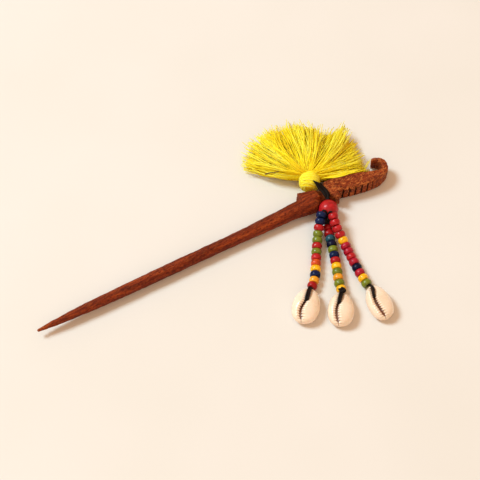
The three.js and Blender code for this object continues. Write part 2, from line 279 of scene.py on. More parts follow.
def tube(line, radius, sides, twist=None):
    """A closed tube along a line.  twist = (plies, pitch, depth) cuts the grooves of a laid cord."""
    line = np.asarray(line, float)
    across, over = tube_frames(line)
    angle = turn_angles(sides)
    radii = np.broadcast_to(np.asarray(radius, float), len(line))[:, None] * np.ones(sides)
    if twist:
        plies, pitch, depth = twist
        lay = plies / 2 * (angle[None] - 2 * np.pi * distance_along(line)[:, None] / pitch)
        radii = radii * (1 - depth + depth * np.abs(np.cos(lay)) ** 0.7)
    rings = line[:, None] + radii[..., None] * around(angle, across[:, None], over[:, None])
    vertices = np.concatenate([rings.reshape(-1, 3), line[:1], line[-1:]])
    return vertices, capped_faces(len(line), sides)


def joined(parts):
    """One list of vertices and one of faces from several."""
    vertices, faces, first = [], [], 0
    for points, some in parts:
        vertices.append(points)
        faces += [[i + first for i in face] for face in some]
        first += len(points)
    return np.concatenate(vertices), faces


# ---- materials
class Shade:
    """One material, with short calls for its nodes.  Coordinates are millimetres on the object."""

    def __init__(self, name, **settings):
        self.material = bpy.data.materials.new(name)
        self.material.use_nodes = True
        self.tree = self.material.node_tree
        self.shader = self.tree.nodes["Principled BSDF"]
        for socket, value in settings.items():
            self.shader.inputs[socket.replace("_", " ")].default_value = value

    def node(self, kind, links=(), **settings):
        made = self.tree.nodes.new(kind)
        for key, value in settings.items():
            setattr(made, key, value)
        for socket, value in dict(links).items():
            if isinstance(value, bpy.types.NodeSocket):
                self.tree.links.new(value, made.inputs[socket])
            else:
                made.inputs[socket].default_value = value
        return made

    def noise(self, scale, detail=4, roughness=0.55, distortion=0):
        """Cloudy noise, 0 to 1.  scale is how many clouds there are in a millimetre along x, y and z."""
        where = self.node("ShaderNodeTexCoord").outputs["Object"]
        size = tuple(s / MM for s in scale)
        place = self.node("ShaderNodeMapping", {"Vector": where, "Scale": size}).outputs["Vector"]
        links = {"Vector": place, "Scale": 1.0, "Detail": detail, "Roughness": roughness,
                 "Distortion": distortion}
        return self.node("ShaderNodeTexNoise", links).outputs["Fac"]

    def painted(self, name):
        return self.node("ShaderNodeAttribute", attribute_name=name).outputs["Fac"]

    def ramp(self, factor, *stops):
        made = self.node("ShaderNodeValToRGB", {"Fac": factor})
        elements = made.color_ramp.elements
        while len(elements) < len(stops):
            elements.new(0.5)
        for element, (position, colour) in zip(elements, stops):
            element.position = position
            element.color = (*colour, 1)
        return made.outputs["Color"]

    def level(self, factor, low, high, to_low=0.0, to_high=1.0):
        links = {"Value": factor, "From Min": low, "From Max": high, "To Min": to_low, "To Max": to_high}
        return self.node("ShaderNodeMapRange", links).outputs["Result"]

    def sum(self, a, b, weight=1.0):
        return self.node("ShaderNodeMath", {0: b, 1: weight, 2: a}, operation="MULTIPLY_ADD").outputs[0]

    def product(self, a, b):
        return self.node("ShaderNodeMath", {0: a, 1: b}, operation="MULTIPLY").outputs[0]

    def mix(self, factor, a, b):
        made = self.node("ShaderNodeMix", data_type="RGBA")
        for socket, value in (("Factor_Float", factor), ("A_Color", a), ("B_Color", b)):
            slot = next(s for s in made.inputs if s.identifier == socket)
            if isinstance(value, bpy.types.NodeSocket):
                self.tree.links.new(value, slot)
            else:
                slot.default_value = (*value, 1)
        return next(s for s in made.outputs if s.identifier == "Result_Color")

    def lay(self, base, top, mask, low=0.0, high=1.0, most=1.0):
        """Colour top over colour base.  Its share goes from 0 to most as mask goes from low to high."""
        return self.mix(self.level(mask, low, high, 0, most), base, top)

    def bump(self, height, distance, strength):
        links = {"Height": height, "Distance": distance * MM, "Strength": strength}
        made = self.node("ShaderNodeBump", links)
        self.tree.links.new(made.outputs["Normal"], self.shader.inputs["Normal"])

    def use(self, **sockets):
        for socket, value in sockets.items():
            self.tree.links.new(value, self.shader.inputs[socket.replace("_", " ")])
        return self.material


WOOD_TONES = ((0.0, (0.035, 0.004, 0.0015)), (0.35, (0.14, 0.017, 0.004)),
              (0.65, (0.27, 0.038, 0.007)), (1.0, (0.52, 0.115, 0.022)))
WOOD_FLECK = (0.66, 0.20, 0.045)
WOOD_SPECK = (0.06, 0.007, 0.002)
EDGE_HIGHLIGHT = (0.42, 0.11, 0.022)
HOLLOW_SHADE = (0.015, 0.003, 0.001)
CUT_SHADE = (0.012, 0.003, 0.001)


def wood_material():
    """Red-brown wood: long grain, pale flecks on the carved head, a painted highlight on outer edges and
    painted shade in hollows and in the cuts.
    """
    s = Shade("carved_wood", Specular_IOR_Level=0.12)
    broad = s.noise((0.035, 0.4, 0.4), detail=5, roughness=0.6, distortion=0.6)
    streaks = s.noise((0.12, 2.6, 2.6), detail=6, roughness=0.7, distortion=0.3)
    pores = s.noise((0.45, 5.5, 5.5), detail=3, roughness=0.6)
    grain = s.sum(s.sum(broad, streaks, 0.9), pores, 0.25)
    fleck = s.noise((0.5, 1.05, 1.05), detail=6, roughness=0.8, distortion=1.0)
    specks = s.noise((0.7, 1.5, 1.5), detail=5, roughness=0.75)
    colour = s.ramp(s.level(grain, 0.75, 1.45), *WOOD_TONES)
    head_flecks = s.product(s.level(fleck, 0.51, 0.58), s.painted("head"))
    colour = s.lay(colour, WOOD_FLECK, head_flecks, most=0.85)
    colour = s.lay(colour, WOOD_SPECK, specks, 0.50, 0.40, 0.85)
    # Painted highlight: lighter on outer edges, where the edge value is above 0.
    colour = s.lay(colour, EDGE_HIGHLIGHT, s.painted("edge"), 0.25, 1.4, 0.45)
    # Painted shade: darker in hollows, where the edge value is below 0.
    colour = s.lay(colour, HOLLOW_SHADE, s.painted("edge"), -0.3, -1.4, 0.85)
    # Painted shade: the walls of the cuts are darkened nearly to black.
    colour = s.mix(s.painted("notch"), colour, CUT_SHADE)
    s.bump(s.sum(s.sum(s.level(streaks, 0.3, 0.7), pores, 0.8), fleck, 0.7), 0.16, 0.8)
    return s.use(Base_Color=colour, Roughness=s.level(grain, 0.7, 1.5, 0.62, 0.45))


def paint_material(name, colour, specular):
    """Gloss paint over turned wood: uneven tone, a faint grain, small dents and painted shade round the
    hole.
    """
    s = Shade(name, Specular_IOR_Level=specular, Coat_Weight=0.7 * specular, Coat_Roughness=0.10)
    tone = s.noise((0.55, 0.55, 0.55), detail=3)
    grain = s.noise((0.7, 2.4, 2.4), detail=5, roughness=0.65)
    dark = tuple(0.55 * c for c in colour)
    light = tuple(min(1.0, 1.25 * c + 0.012) for c in colour)
    hole_shade_colour = tuple(0.18 * c for c in colour)
    patches = s.sum(s.level(tone, 0.3, 0.7, 0, 0.6), grain, 0.4)
    base = s.ramp(patches, (0.1, dark), (0.5, colour), (0.95, light))
    # Painted shade round and inside the hole.
    base = s.lay(base, hole_shade_colour, s.painted("hole"), most=0.8)
    s.bump(s.sum(s.level(tone, 0.3, 0.7), grain, 0.9), 0.10, 0.25)
    return s.use(Base_Color=base, Roughness=s.level(grain, 0.3, 0.7, 0.26, 0.46))


COTTON_TONES = ((0.0, (0.74, 0.43, 0.001)), (0.3, (0.95, 0.67, 0.002)),
                (0.65, (1.0, 0.84, 0.006)), (1.0, (1.0, 0.94, 0.09)))


def cotton_material():
    s = Shade("yellow_thread", Roughness=0.75, Specular_IOR_Level=0.25, Sheen_Weight=0.08,
              Sheen_Roughness=0.4, Subsurface_Weight=0.16, Subsurface_Radius=(1.0, 0.75, 0.15),
              Subsurface_Scale=1.2 * MM)
    fine = s.noise((1.2, 1.2, 1.2), detail=3)
    # The painted tint value holds the yarn's own tone together with painted light and shade.
    tone = s.sum(s.painted("tint_and_shade"), s.level(fine, 0.3, 0.7, -0.15, 0.15))
    s.bump(s.noise((5, 5, 5)), 0.08, 0.5)
    return s.use(Base_Color=s.ramp(tone, *COTTON_TONES))


CORD_TONES = ((0.3, (0.002, 0.001, 0.001)), (0.6, (0.010, 0.006, 0.005)), (0.8, (0.032, 0.018, 0.013)))


def cord_material():
    s = Shade("black_cord", Specular_IOR_Level=0.15)
    fuzz = s.noise((3, 3, 3), detail=5, roughness=0.7)
    s.bump(fuzz, 0.10, 0.7)
    return s.use(Base_Color=s.ramp(fuzz, *CORD_TONES), Roughness=s.level(fuzz, 0.3, 0.7, 0.45, 0.7))


SHELL_TONES = ((0.3, (0.86, 0.68, 0.50)), (0.5, (0.93, 0.79, 0.62)), (0.7, (0.95, 0.77, 0.62)))
SHELL_FRECKLE = (0.74, 0.52, 0.34)
SHELL_RIM_SHADE = (0.78, 0.50, 0.30)
SHELL_TOOTH_GAP_SHADE = (0.50, 0.28, 0.15)
SHELL_SLIT_SHADE = (0.13, 0.030, 0.006)


def shell_material():
    """Glossy cream shell, painted darker as shade at its rim, between its teeth and inside its slit."""
    s = Shade("cowrie_shell", Specular_IOR_Level=0.6, Coat_Weight=0.6, Coat_Roughness=0.08,
              Subsurface_Weight=0.15, Subsurface_Radius=(1.0, 0.6, 0.4), Subsurface_Scale=1.2 * MM)
    cloud = s.noise((0.12, 0.12, 0.12), detail=3)
    fine = s.noise((0.9, 0.9, 0.9), detail=5)
    colour = s.ramp(cloud, *SHELL_TONES)
    colour = s.lay(colour, SHELL_FRECKLE, fine, 0.45, 0.75, 0.25)
    # Painted shade: warmer and darker low on the sides, towards the table.
    colour = s.lay(colour, SHELL_RIM_SHADE, s.painted("rim"), most=0.75)
    # Painted shade in the grooves between the teeth.
    colour = s.lay(colour, SHELL_TOOTH_GAP_SHADE, s.painted("tooth_gap_shade"), most=0.85)
    # Painted shade: dark brown inside the slit, for the shaded hollow of the shell within.
    colour = s.mix(s.painted("slit"), colour, SHELL_SLIT_SHADE)
    s.bump(s.sum(cloud, fine, 0.3), 0.06, 0.25)
    return s.use(Base_Color=colour, Roughness=s.level(fine, 0.3, 0.7, 0.20, 0.34))


WOOD = wood_material()
YELLOW = cotton_material()
CORD = cord_material()
SHELL = shell_material()
# colour and how strongly the paint reflects
PAINT_FINISHES = {
    "red": ((0.42, 0.006, 0.011), 0.25),
    "crimson": ((0.38, 0.004, 0.022), 0.25),
    "dark_red": ((0.32, 0.003, 0.005), 0.2),
    "blue": ((0.001, 0.011, 0.064), 0.14),
    "navy": ((0.002, 0.004, 0.026), 0.12),
    "teal": ((0.010, 0.074, 0.105), 0.2),
    "green": ((0.155, 0.20, 0.009), 0.35),
    "yellow": ((0.95, 0.50, 0.003), 0.35),
    "amber": ((0.80, 0.34, 0.012), 0.35),
    "orange": ((0.56, 0.060, 0.003), 0.35),
}
PAINTS = {name: paint_material(f"paint_{name}", *finish) for name, finish in PAINT_FINISHES.items()}
BEAD_COLOURS = {row["node"]: row["material_slot"] for row in frame["record"]["subparts"]}


# ---- carved pin
TIP_X = -164.0
TIP_DIAMETER = 1.3
DIAMETER_GAIN = 4.6
TAPER_LENGTH = 19
SHAFT_SWELL = 1.2
SHOULDER = 1.5
# the stick's middle height at the tip, where it leaves the table, and at the head
TIP_Z, REST_END_Z, HEAD_Z = 4.0, 3.5, 4.2
REST_END_X = -45
HEAD_START_X = -27
HEAD_THICKNESS = 8.4
HEAD_OUTLINE = np.array([
    (-22.2, 0.6), (-14.0, -0.9), (-12.4, -1.2), (-8.6, -1.6), (-7.4, -3.2), (-6.7, -4.8),
    (-6.2, -5.4), (-4.7, -5.5), (-3.9, -4.9), (-3.4, -2.9),
    (-2.4, -2.9), (1.4, -4.1), (5.0, -4.8), (8.5, -5.4), (12.2, -5.9), (15.4, -6.2), (19.6, -5.9),
    (22.4, -4.9), (24.6, -3.6), (26.3, -1.6), (27.0, 0.9), (26.6, 3.3), (25.2, 5.2), (23.3, 6.3),
    (21.3, 6.6), (20.6, 5.2), (22.2, 4.6), (23.4, 3.3), (23.8, 1.8), (23.4, 0.3), (22.3, -0.8),
    (20.8, -0.9), (18.7, -0.3), (15.5, 0.8), (9.5, 3.0), (4.9, 4.7), (0.0, 5.7), (-5.0, 6.0),
    (-7.6, 5.8), (-8.2, 4.8), (-9.2, 3.6), (-12.2, 3.6), (-17.0, 4.9), (-22.2, 6.3),
])
# place along the trunk, its near edge there, and how deep the cut is
NOTCHES = [(-1.3, -3.2, 1.45), (1.9, -4.2, 1.45), (5.1, -4.8, 1.45), (8.3, -5.35, 1.45),
           (11.5, -5.8, 1.45), (14.2, -6.1, 0.75), (16.6, -6.15, 0.6)]
LARGE_BEAD_CENTRE = np.array([-12.35, -7.8, 4.95])
LARGE_BEAD_RADIUS = 4.85
LARGE_BEAD_GAP = 0.35
GROOVE_LEFT_X, GROOVE_RIGHT_X = -11.5, -8.0
GROOVE_NEAR_FLOOR, GROOVE_FAR_FLOOR = 5.7, 6.2
PIN_LOW = (-165.2, -7.6, -0.5)
PIN_HIGH = (28.2, 8.0, 9.2)
PIN_CELL = 0.30


def outline_distance(x, y):
    """Distance to the head's outline in plan, below 0 inside it."""
    best = np.full(len(x), np.inf)
    inside = np.zeros(len(x), bool)
    for (ax, ay), (bx, by) in zip(HEAD_OUTLINE, np.roll(HEAD_OUTLINE, -1, axis=0)):
        ex, ey = bx - ax, by - ay
        share = np.clip(((x - ax) * ex + (y - ay) * ey) / (ex * ex + ey * ey), 0, 1)
        best = np.minimum(best, (x - ax - share * ex) ** 2 + (y - ay - share * ey) ** 2)
        if ay != by:
            crosses = ((ay > y) != (by > y)) & (x < ax + (y - ay) * ex / ey)
            inside ^= crosses
    return np.where(inside, -1, 1) * np.sqrt(best)


def shaft_distance(x, y, z):
    """Distance outside the stick: round, wider in y near the head, and sunk away inside the head."""
    from_tip = x - TIP_X
    radius = (TIP_DIAMETER + DIAMETER_GAIN * (1 - np.exp(-np.maximum(from_tip, 0) / TAPER_LENGTH))) / 2
    radius = radius + SHAFT_SWELL * smoothstep(from_tip, 95, 153)
    near_centre = mix(REST_END_Z, HEAD_Z, smoothstep(x, REST_END_X, -20))
    far_centre = mix(TIP_Z, REST_END_Z, from_tip / (REST_END_X - TIP_X))
    centre_z = np.where(x > REST_END_X, near_centre, far_centre)
    shoulder = SHOULDER * smoothstep(x, -30, -18)
    width = radius + shoulder / 2
    beyond_tip = np.maximum(-from_tip, 0)
    level = (y + shoulder / 2) * radius / width
    across = np.sqrt(level ** 2 + (z - centre_z) ** 2 + beyond_tip ** 2)
    sunk = smoothstep(x, -17.0, -11.0) * 3.2 + np.maximum(x + 10, 0)
    return across - radius + sunk


def head_distance(x, y, z):
    """Distance outside the head: its outline as a slab, rounded more below than above."""
    half = HEAD_THICKNESS / 2
    rounding = np.where(z > half, 1.0, 1.7)
    side = outline_distance(x, y) + rounding
    level = np.abs(z - half) - half + rounding
    outer = np.hypot(np.maximum(side, 0), np.maximum(level, 0))
    return outer + np.minimum(np.maximum(side, level), 0) - rounding


def groove_distance(x, y, z):
    """Distance outside the groove across the top of the head, where the cords lie."""
    floor = mix(GROOVE_NEAR_FLOOR, GROOVE_FAR_FLOOR, smoothstep(y, 2, 6))
    left_wall = GROOVE_LEFT_X - 0.9 * (z - 6.0) - x
    right_wall = x - GROOVE_RIGHT_X - 0.12 * (z - 5.5)
    return np.maximum(np.maximum(left_wall, right_wall), floor - z)


def notch_distance(points, notch):
    """Distance outside one of the cuts in the trunk's near wall."""
    notch_x, edge_y, depth = notch
    x, y, z = points.T
    lean = notch_x + 0.05 * (z - 4)
    return 0.24 * (y - edge_y - depth) + np.abs(x - lean) * 0.97 + 0.20 * smoothstep(z, 7.4, 8.4)


def head_field(points, shaft):
    """Distance outside stick and head together, less the groove, the large bead's hollow and the cuts."""
    x, y, z = points.T
    body = smooth_min(shaft, head_distance(x, y, z), 1.1)
    body = smooth_max(body, -groove_distance(x, y, z), 1.1)
    hollow = np.linalg.norm(points - LARGE_BEAD_CENTRE, axis=1) - LARGE_BEAD_RADIUS - LARGE_BEAD_GAP
    body = smooth_max(body, -hollow, 0.5)
    for notch in NOTCHES:
        body = smooth_max(body, -notch_distance(points, notch), 0.12)
    tool_marks = 0.035 * waves(points, (1.5, 1.2, 1.2), 5)
    return body + tool_marks * smoothstep(x, -26, -16)


def pin_field(points):
    x, y, z = points.T
    solid = shaft_distance(x, y, z)
    near = x > HEAD_START_X
    if near.any():
        solid[near] = head_field(points[near], solid[near])
    solid = solid + 0.055 * waves(points, (9, 2.6, 2.6), 3) + 0.03 * waves(points, (3, 1.3, 1.3), 4)
    return smooth_max(solid, np.maximum(-z, z - HEAD_THICKNESS), 0.25)


def build_pin():
    vertices, faces = sculpt(pin_field, PIN_LOW, PIN_HIGH, PIN_CELL)
    pin = make_object("wooden_pin", vertices, faces, WOOD)
    nearest_cut = np.min([notch_distance(vertices, notch) for notch in NOTCHES], axis=0)
    below_top = smoothstep(-vertices[:, 2], -8.2, -7.4)
    # The edge value drives the painted highlight on outer edges and the painted shade in hollows.
    paint(pin, "edge", convexity(pin_field, vertices, 0.5))
    # Where the painted shade of the cuts goes.
    paint(pin, "notch", 0.9 * smoothstep(-nearest_cut, -0.16, 0.02) * below_top)
    paint(pin, "head", smoothstep(vertices[:, 0], -20, -8))
    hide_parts("carved_pin")
    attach(pin, "pin")


# ---- beads
BEAD_RADIUS = 2.5
BEAD_BORE = 0.7
BEAD_HALF_WIDTH = 1.51
BEAD_SQUARENESS = 2.15
BEAD_COLUMNS, BEAD_ROWS = 40, 22
LARGE_BEAD_BORE = 1.55
LARGE_BEAD_COLUMNS, LARGE_BEAD_ROWS, LARGE_BORE_ROWS = 64, 34, 6


def bead_frame(node):
    """Centre and axis of a ring-shaped node, in millimetres."""
    points = np.array([v.co for v in frame["nodes"][node].data.vertices]) / MM
    low, high = points.min(0), points.max(0)
    middle = (low + high) / 2
    spread = np.unique(points.round(4), axis=0) - middle
    _, directions = np.linalg.eigh(spread.T @ spread)
    return middle, directions[:, 0]


def ring_faces(columns, rows):
    """Faces of a ring: columns round its axis, each a closed section of rows points."""
    i, j = np.meshgrid(np.arange(columns), np.arange(rows), indexing="ij")
    after, above = (i + 1) % columns * rows, (j + 1) % rows
    corners = (i * rows + j, after + j, after + above, i * rows + above)
    return np.stack([corner.ravel() for corner in corners], 1).tolist()


def eased(turn, wave):
    """A wave drawn out towards the corners, for a section between an ellipse and a box."""
    value = wave(turn)
    return np.sign(value) * np.abs(value) ** (2 / BEAD_SQUARENESS)


def ring_bead(centre, axis, outer, half, seed):
    """A turned bead, not quite even: a ring of rounded section, and how deep in its hole points are, for
    the painted shade there.
    """
    rng = np.random.default_rng(seed)
    turn = turn_angles(BEAD_ROWS)
    middle, reach = (outer + BEAD_BORE) / 2, (outer - BEAD_BORE) / 2
    radial = middle + reach * eased(turn, np.cos)
    along = half * eased(turn, np.sin)
    side = unit(np.cross(axis, UP if abs(axis[2]) < 0.9 else (1.0, 0, 0)))
    angle = turn_angles(BEAD_COLUMNS)
    wobble = 1 + rng.uniform(0.004, 0.014) * np.sin(2 * angle + rng.uniform(0, 6))
    slant = rng.uniform(-0.015, 0.015) * np.sin(angle + rng.uniform(0, 6))
    out = around(angle, side, np.cross(axis, side))
    points = (centre + (radial[None] * wobble[:, None])[..., None] * out[:, None]
              + (along[None] + slant[:, None] * radial[None])[..., None] * axis)
    hole = np.tile(smoothstep(-radial, -middle, -BEAD_BORE - 0.1), BEAD_COLUMNS)
    return points.reshape(-1, 3), ring_faces(BEAD_COLUMNS, BEAD_ROWS), hole


def facing_out(vertices, faces):
    """The faces, turned round if they face into the solid."""
    corners = np.array([f[:3] for f in faces])
    a, b, c = (vertices[corners[:, k]] - vertices.mean(0) for k in range(3))
    volume = (a * np.cross(b, c)).sum()
    return faces if volume > 0 else [f[::-1] for f in faces]


def build_bead(node, seed, name):
    centre, axis = bead_frame(node)
    rng = np.random.default_rng(seed)
    outer = BEAD_RADIUS * rng.uniform(0.97, 1.02)
    half = BEAD_HALF_WIDTH * rng.uniform(0.96, 1.02)
    vertices, faces, hole = ring_bead(centre, axis, outer, half, seed)
    colour = BEAD_COLOURS[node]
    bead = make_object(name, vertices, facing_out(vertices, faces), PAINTS[colour])
    paint(bead, "hole", hole)
    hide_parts(node)
    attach(bead, node)
    return bead


def build_large_bead():
    middle = next(i for i, point in enumerate(HANGER) if np.allclose(point, LARGE_BEAD_CENTRE))
    axis = unit(np.subtract(HANGER[middle - 1], HANGER[middle + 1]))
    pole = math.asin(LARGE_BEAD_BORE / LARGE_BEAD_RADIUS)
    arc = np.linspace(pole, math.pi - pole, LARGE_BEAD_ROWS)
    end = LARGE_BEAD_RADIUS * math.cos(pole)
    radial = np.concatenate([LARGE_BEAD_RADIUS * np.sin(arc), np.full(LARGE_BORE_ROWS, LARGE_BEAD_BORE)])
    radial[[0, LARGE_BEAD_ROWS - 1]] += 0.12
    in_bore = np.linspace(0.9, -0.9, LARGE_BORE_ROWS) * end
    along = np.concatenate([-LARGE_BEAD_RADIUS * np.cos(arc), in_bore])
    side = unit(np.cross(axis, UP))
    out = around(turn_angles(LARGE_BEAD_COLUMNS), side, np.cross(axis, side))
    vertices = LARGE_BEAD_CENTRE + radial[None, :, None] * out[:, None] + along[None, :, None] * axis
    vertices = vertices.reshape(-1, 3)
    faces = facing_out(vertices, ring_faces(LARGE_BEAD_COLUMNS, LARGE_BEAD_ROWS + LARGE_BORE_ROWS))
    bead = make_object("big_bead", vertices, faces, PAINTS["red"])
    # Painted shade round and inside the bore.
    hole = smoothstep(-radial, -LARGE_BEAD_BORE - 0.5, -LARGE_BEAD_BORE)
    paint(bead, "hole", np.tile(hole, LARGE_BEAD_COLUMNS))
    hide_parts("large_bead")
    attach(bead, "pendant")


# ---- cords
CORD_TWIST = (3, 2.6, 0.22)
CORD_RADIUS = 0.48
KNOT_CORD_RADIUS = 0.58
CORD_SIDES = 14
KNOT_SIDES = 12
LINE_SPACING = 0.22
KNOT_CENTRE = np.array([-16.05, -12.65, 2.6])
HANGER = [(-12.4, 7.3, 10.7), (-11.9, 6.3, 10.5), (-11.2, 5.0, 9.7), (-10.5, 3.6, 8.7), (-9.8, 1.9, 8.0),
          (-9.5, -0.1, 7.6), (-9.8, -2.0, 7.1), (-10.9, -4.9, 6.0), (-12.35, -7.8, 4.95),
          (-13.9, -10.0, 3.8), (-15.4, -11.9, 2.9)]
HANGER_OFFSETS = (-1.5, -0.5, 0.5, 1.5)


def cord_object(name, parts):
    vertices, faces = joined(parts)
    made = make_object(name, vertices, faces, CORD)
    return made


def build_hanger():
    """The cords from the tassel: side by side over the head, then twisted through the large bead."""
    line = smooth_path(HANGER, LINE_SPACING)
    across, over = tube_frames(line)
    share = np.linspace(0, 1, len(line))
    flat = smoothstep(share, 0.02, 0.22) * (1 - smoothstep(share, 0.42, 0.56))
    tight = smoothstep(share, 0.42, 0.60)[:, None]
    radius = mix(0.16, 0.56, smoothstep(share, 0, 0.16))
    parts = []
    for k, offset in enumerate(HANGER_OFFSETS):
        side_by_side = offset * mix(0.22, 0.85, flat)[:, None] * across + (0.18 * (-1) ** k) * over
        twisted = 0.52 * around(2 * np.pi * k / len(HANGER_OFFSETS) + share * 5, across, over)
        parts.append(tube(line + mix(side_by_side, twisted, tight), radius, CORD_SIDES, CORD_TWIST))
    bundle = cord_object("hanger_cords", parts)
    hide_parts("hanger_cord", "pendant_cord")
    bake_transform(bundle)


def knot(centre, axis, size, spin=0.0):
    """A closed overhand knot of cord round an axis."""
    t = np.linspace(0, 2 * np.pi, 90, endpoint=False) + spin
    side = unit(np.cross(axis, (0.3, 0.2, 1.0)))
    radial = 1 + 0.45 * np.cos(3 * t)
    level = radial[:, None] * around(2 * t, side, np.cross(axis, side))
    line = centre + size * (level + 0.62 * np.sin(3 * t)[:, None] * np.asarray(axis))
    closed = np.concatenate([line, line[:1] + 1e-4])
    return tube(closed, KNOT_CORD_RADIUS, KNOT_SIDES, CORD_TWIST)


def build_knot():
    """Three knots, one over the other: the strands are tied together between the first beads."""
    parts = [
        knot(KNOT_CENTRE + (0.1, 0.1, 0.3), unit((-0.5, -0.8, 0.2)), 1.1),
        knot(KNOT_CENTRE + (-0.4, -0.9, 1.9), unit((-0.2, -0.6, 0.7)), 1.05, 1.0),
        knot(KNOT_CENTRE + (-0.4, -0.8, 3.4), unit((0.4, -0.7, 0.3)), 0.95, 2.0),
    ]
    made = cord_object("knot_of_strands", parts)
    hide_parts("strand_knot")
    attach(made, "pendant")


SIDES = ("left", "middle", "right")
BEAD_COUNTS = {side: sum(n.startswith(f"bead_{side}_") for n in frame["nodes"]) for side in SIDES}
# where each strand's cord runs from the knot to its first bead
STRAND_STARTS = {
    "left": [(-16.3, -12.3, 3.4), (-16.0, -11.9, 5.4), (-15.6, -11.2, 7.6), (-15.7, -10.1, 8.9),
             (-16.5, -9.3, 9.0), (-17.45, -9.55, 8.4)],
    "middle": [(-16.1, -12.9, 2.7), (-16.5, -13.9, 2.6)],
    "right": [(-15.8, -12.8, 3.4), (-15.5, -12.3, 5.6), (-14.9, -11.7, 7.7), (-13.9, -11.5, 9.0),
              (-13.3, -12.6, 8.9)],
}


def strand_line(side):
    middles = [bead_frame(f"bead_{side}_{k + 1:02d}")[0] for k in range(BEAD_COUNTS[side])]
    last = middles[-1] + (middles[-1] - middles[-2]) * 0.4
    return smooth_path([*STRAND_STARTS[side], *middles, last], LINE_SPACING)


def build_strand(side):
    """The beads and the cord of one strand.  The cord bends where the strand curls."""
    beads = []
    for k in range(BEAD_COUNTS[side]):
        seed = 100 * SIDES.index(side) + k
        beads.append(build_bead(f"bead_{side}_{k + 1:02d}", seed, f"{side}_bead_{k + 1:02d}"))
    line = strand_line(side)
    cord = cord_object(f"{side}_strand_cord", [tube(line, CORD_RADIUS, CORD_SIDES, CORD_TWIST)])
    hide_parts(f"cord_{side}_upper", f"cord_{side}_lower")
    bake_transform(cord)
    return cord, line, beads


# ---- cowrie shells
SHELL_HEIGHT = 7.6
RIM_Z = 3.2
SLIT_FLOOR_Z = SHELL_HEIGHT - 2.1
TOOTH_PITCH = 1.12
TEETH_FROM_SLIT = 0.9
VALLEY_DEPTH = 0.95
RIDGE_HEIGHT = 0.11
SHELL_CELL = 0.16
SHELLS = {
    "left": {"x": -49.0, "y": -48.3, "heading": 42, "length": 18.6, "width": 13.1,
             "slit": -1.9, "peak": -0.45, "spread": 0.50, "tie": (-0.2, 1.2)},
    "middle": {"x": -35.7, "y": -57.75, "heading": 33, "length": 17.6, "width": 12.4,
               "slit": -2.2, "peak": -0.30, "spread": 0.75, "tie": (-1.1, 1.5)},
    "right": {"x": -18.1, "y": -63.25, "heading": 8, "length": 18.4, "width": 11.6,
              "slit": -2.2, "peak": -0.10, "spread": 0.85, "tie": (-1.9, 2.4)},
}


def slit_x(y, shell):
    share = y / (shell["length"] / 2)
    return shell["slit"] * np.exp(-((share - shell["peak"]) / shell["spread"]) ** 2)


def tooth_wave(y):
    return np.sin(2 * np.pi * y / TOOTH_PITCH)


def slit_width(y, shell):
    teeth = 0.5 + 0.5 * tooth_wave(y)
    ends = smoothstep(-np.abs(y), -shell["length"] * 0.47, -shell["length"] * 0.40)
    return (0.72 - 0.38 * teeth) * ends


def shell_field(shell):
    """Distance outside a shell: a flat-bottomed egg with a valley, teeth and a slit along its top."""
    half_length, half_width = shell["length"] / 2, shell["width"] / 2

    def field(points):
        x, y, z = points.T
        share = y / half_length
        plan = (np.abs(x) / (half_width * (1 - 0.09 * share))) ** 2.1 + np.abs(share) ** 2.2
        height = np.where(z > RIM_Z, (z - RIM_Z) / (SHELL_HEIGHT - RIM_Z), (RIM_Z - z) / (RIM_Z * 1.35))
        body = ((plan + np.abs(height) ** 2.2) ** (1 / 2.2) - 1) * 4.6
        u = x - slit_x(y, shell)
        length_fade = smoothstep(-np.abs(share), -0.98, -0.75)
        valley = VALLEY_DEPTH * np.exp(-(u / 1.15) ** 2) * length_fade
        beside_slit = np.exp(-((np.abs(u) - TEETH_FROM_SLIT) / 1.15) ** 2)
        ridges = RIDGE_HEIGHT * tooth_wave(y) * beside_slit * length_fade
        body = body + (valley + ridges) * smoothstep(z, RIM_Z, SHELL_HEIGHT - 1.2)
        slit = np.maximum(np.abs(u) - slit_width(y, shell), SLIT_FLOOR_Z - z)
        body = smooth_max(body, -slit, 0.18)
        body = body + 0.03 * waves(points, (7, 7, 7), 21)
        return smooth_max(body, -z, 0.2)

    return field


def placed(points, shell):
    """Points of a shell moved from the origin to its place on the table."""
    angle = math.radians(-shell["heading"])
    cos, sin = math.cos(angle), math.sin(angle)
    turn = np.array([[cos, -sin, 0], [sin, cos, 0], [0, 0, 1]])
    return points @ turn.T + (shell["x"], shell["y"], 0)


def build_shell(side):
    shell = SHELLS[side]
    high = np.array([shell["width"] / 2 + 0.8, shell["length"] / 2 + 0.6, SHELL_HEIGHT + 0.4])
    low = (-high[0], -high[1], -0.4)
    vertices, faces = sculpt(shell_field(shell), low, high, SHELL_CELL)
    x, y, z = vertices.T
    u = np.abs(x - slit_x(y, shell))
    # Where the painted shade inside the slit goes.
    inside = smoothstep(slit_width(y, shell) + 0.20 - u, 0, 0.18) * smoothstep(z, RIM_Z - 0.5, RIM_Z + 0.5)
    # Where the painted shade between the teeth goes: the grooves of the tooth wave.
    tooth_gap_shade = smoothstep(-tooth_wave(y), 0.1, 0.9) * np.exp(-((u - TEETH_FROM_SLIT) / 0.9) ** 2)
    made = make_object(f"{side}_cowrie", placed(vertices, shell), faces, SHELL)
    paint(made, "slit", inside)
    paint(made, "tooth_gap_shade", tooth_gap_shade * smoothstep(z, RIM_Z, RIM_Z + 2))
    # The share of painted shade at the rim, growing towards the table.
    paint(made, "rim", smoothstep(-z, -RIM_Z - 2.2, -0.8))
    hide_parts(f"shell_{side}")
    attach(made, f"shell_{side}_end")
    return made


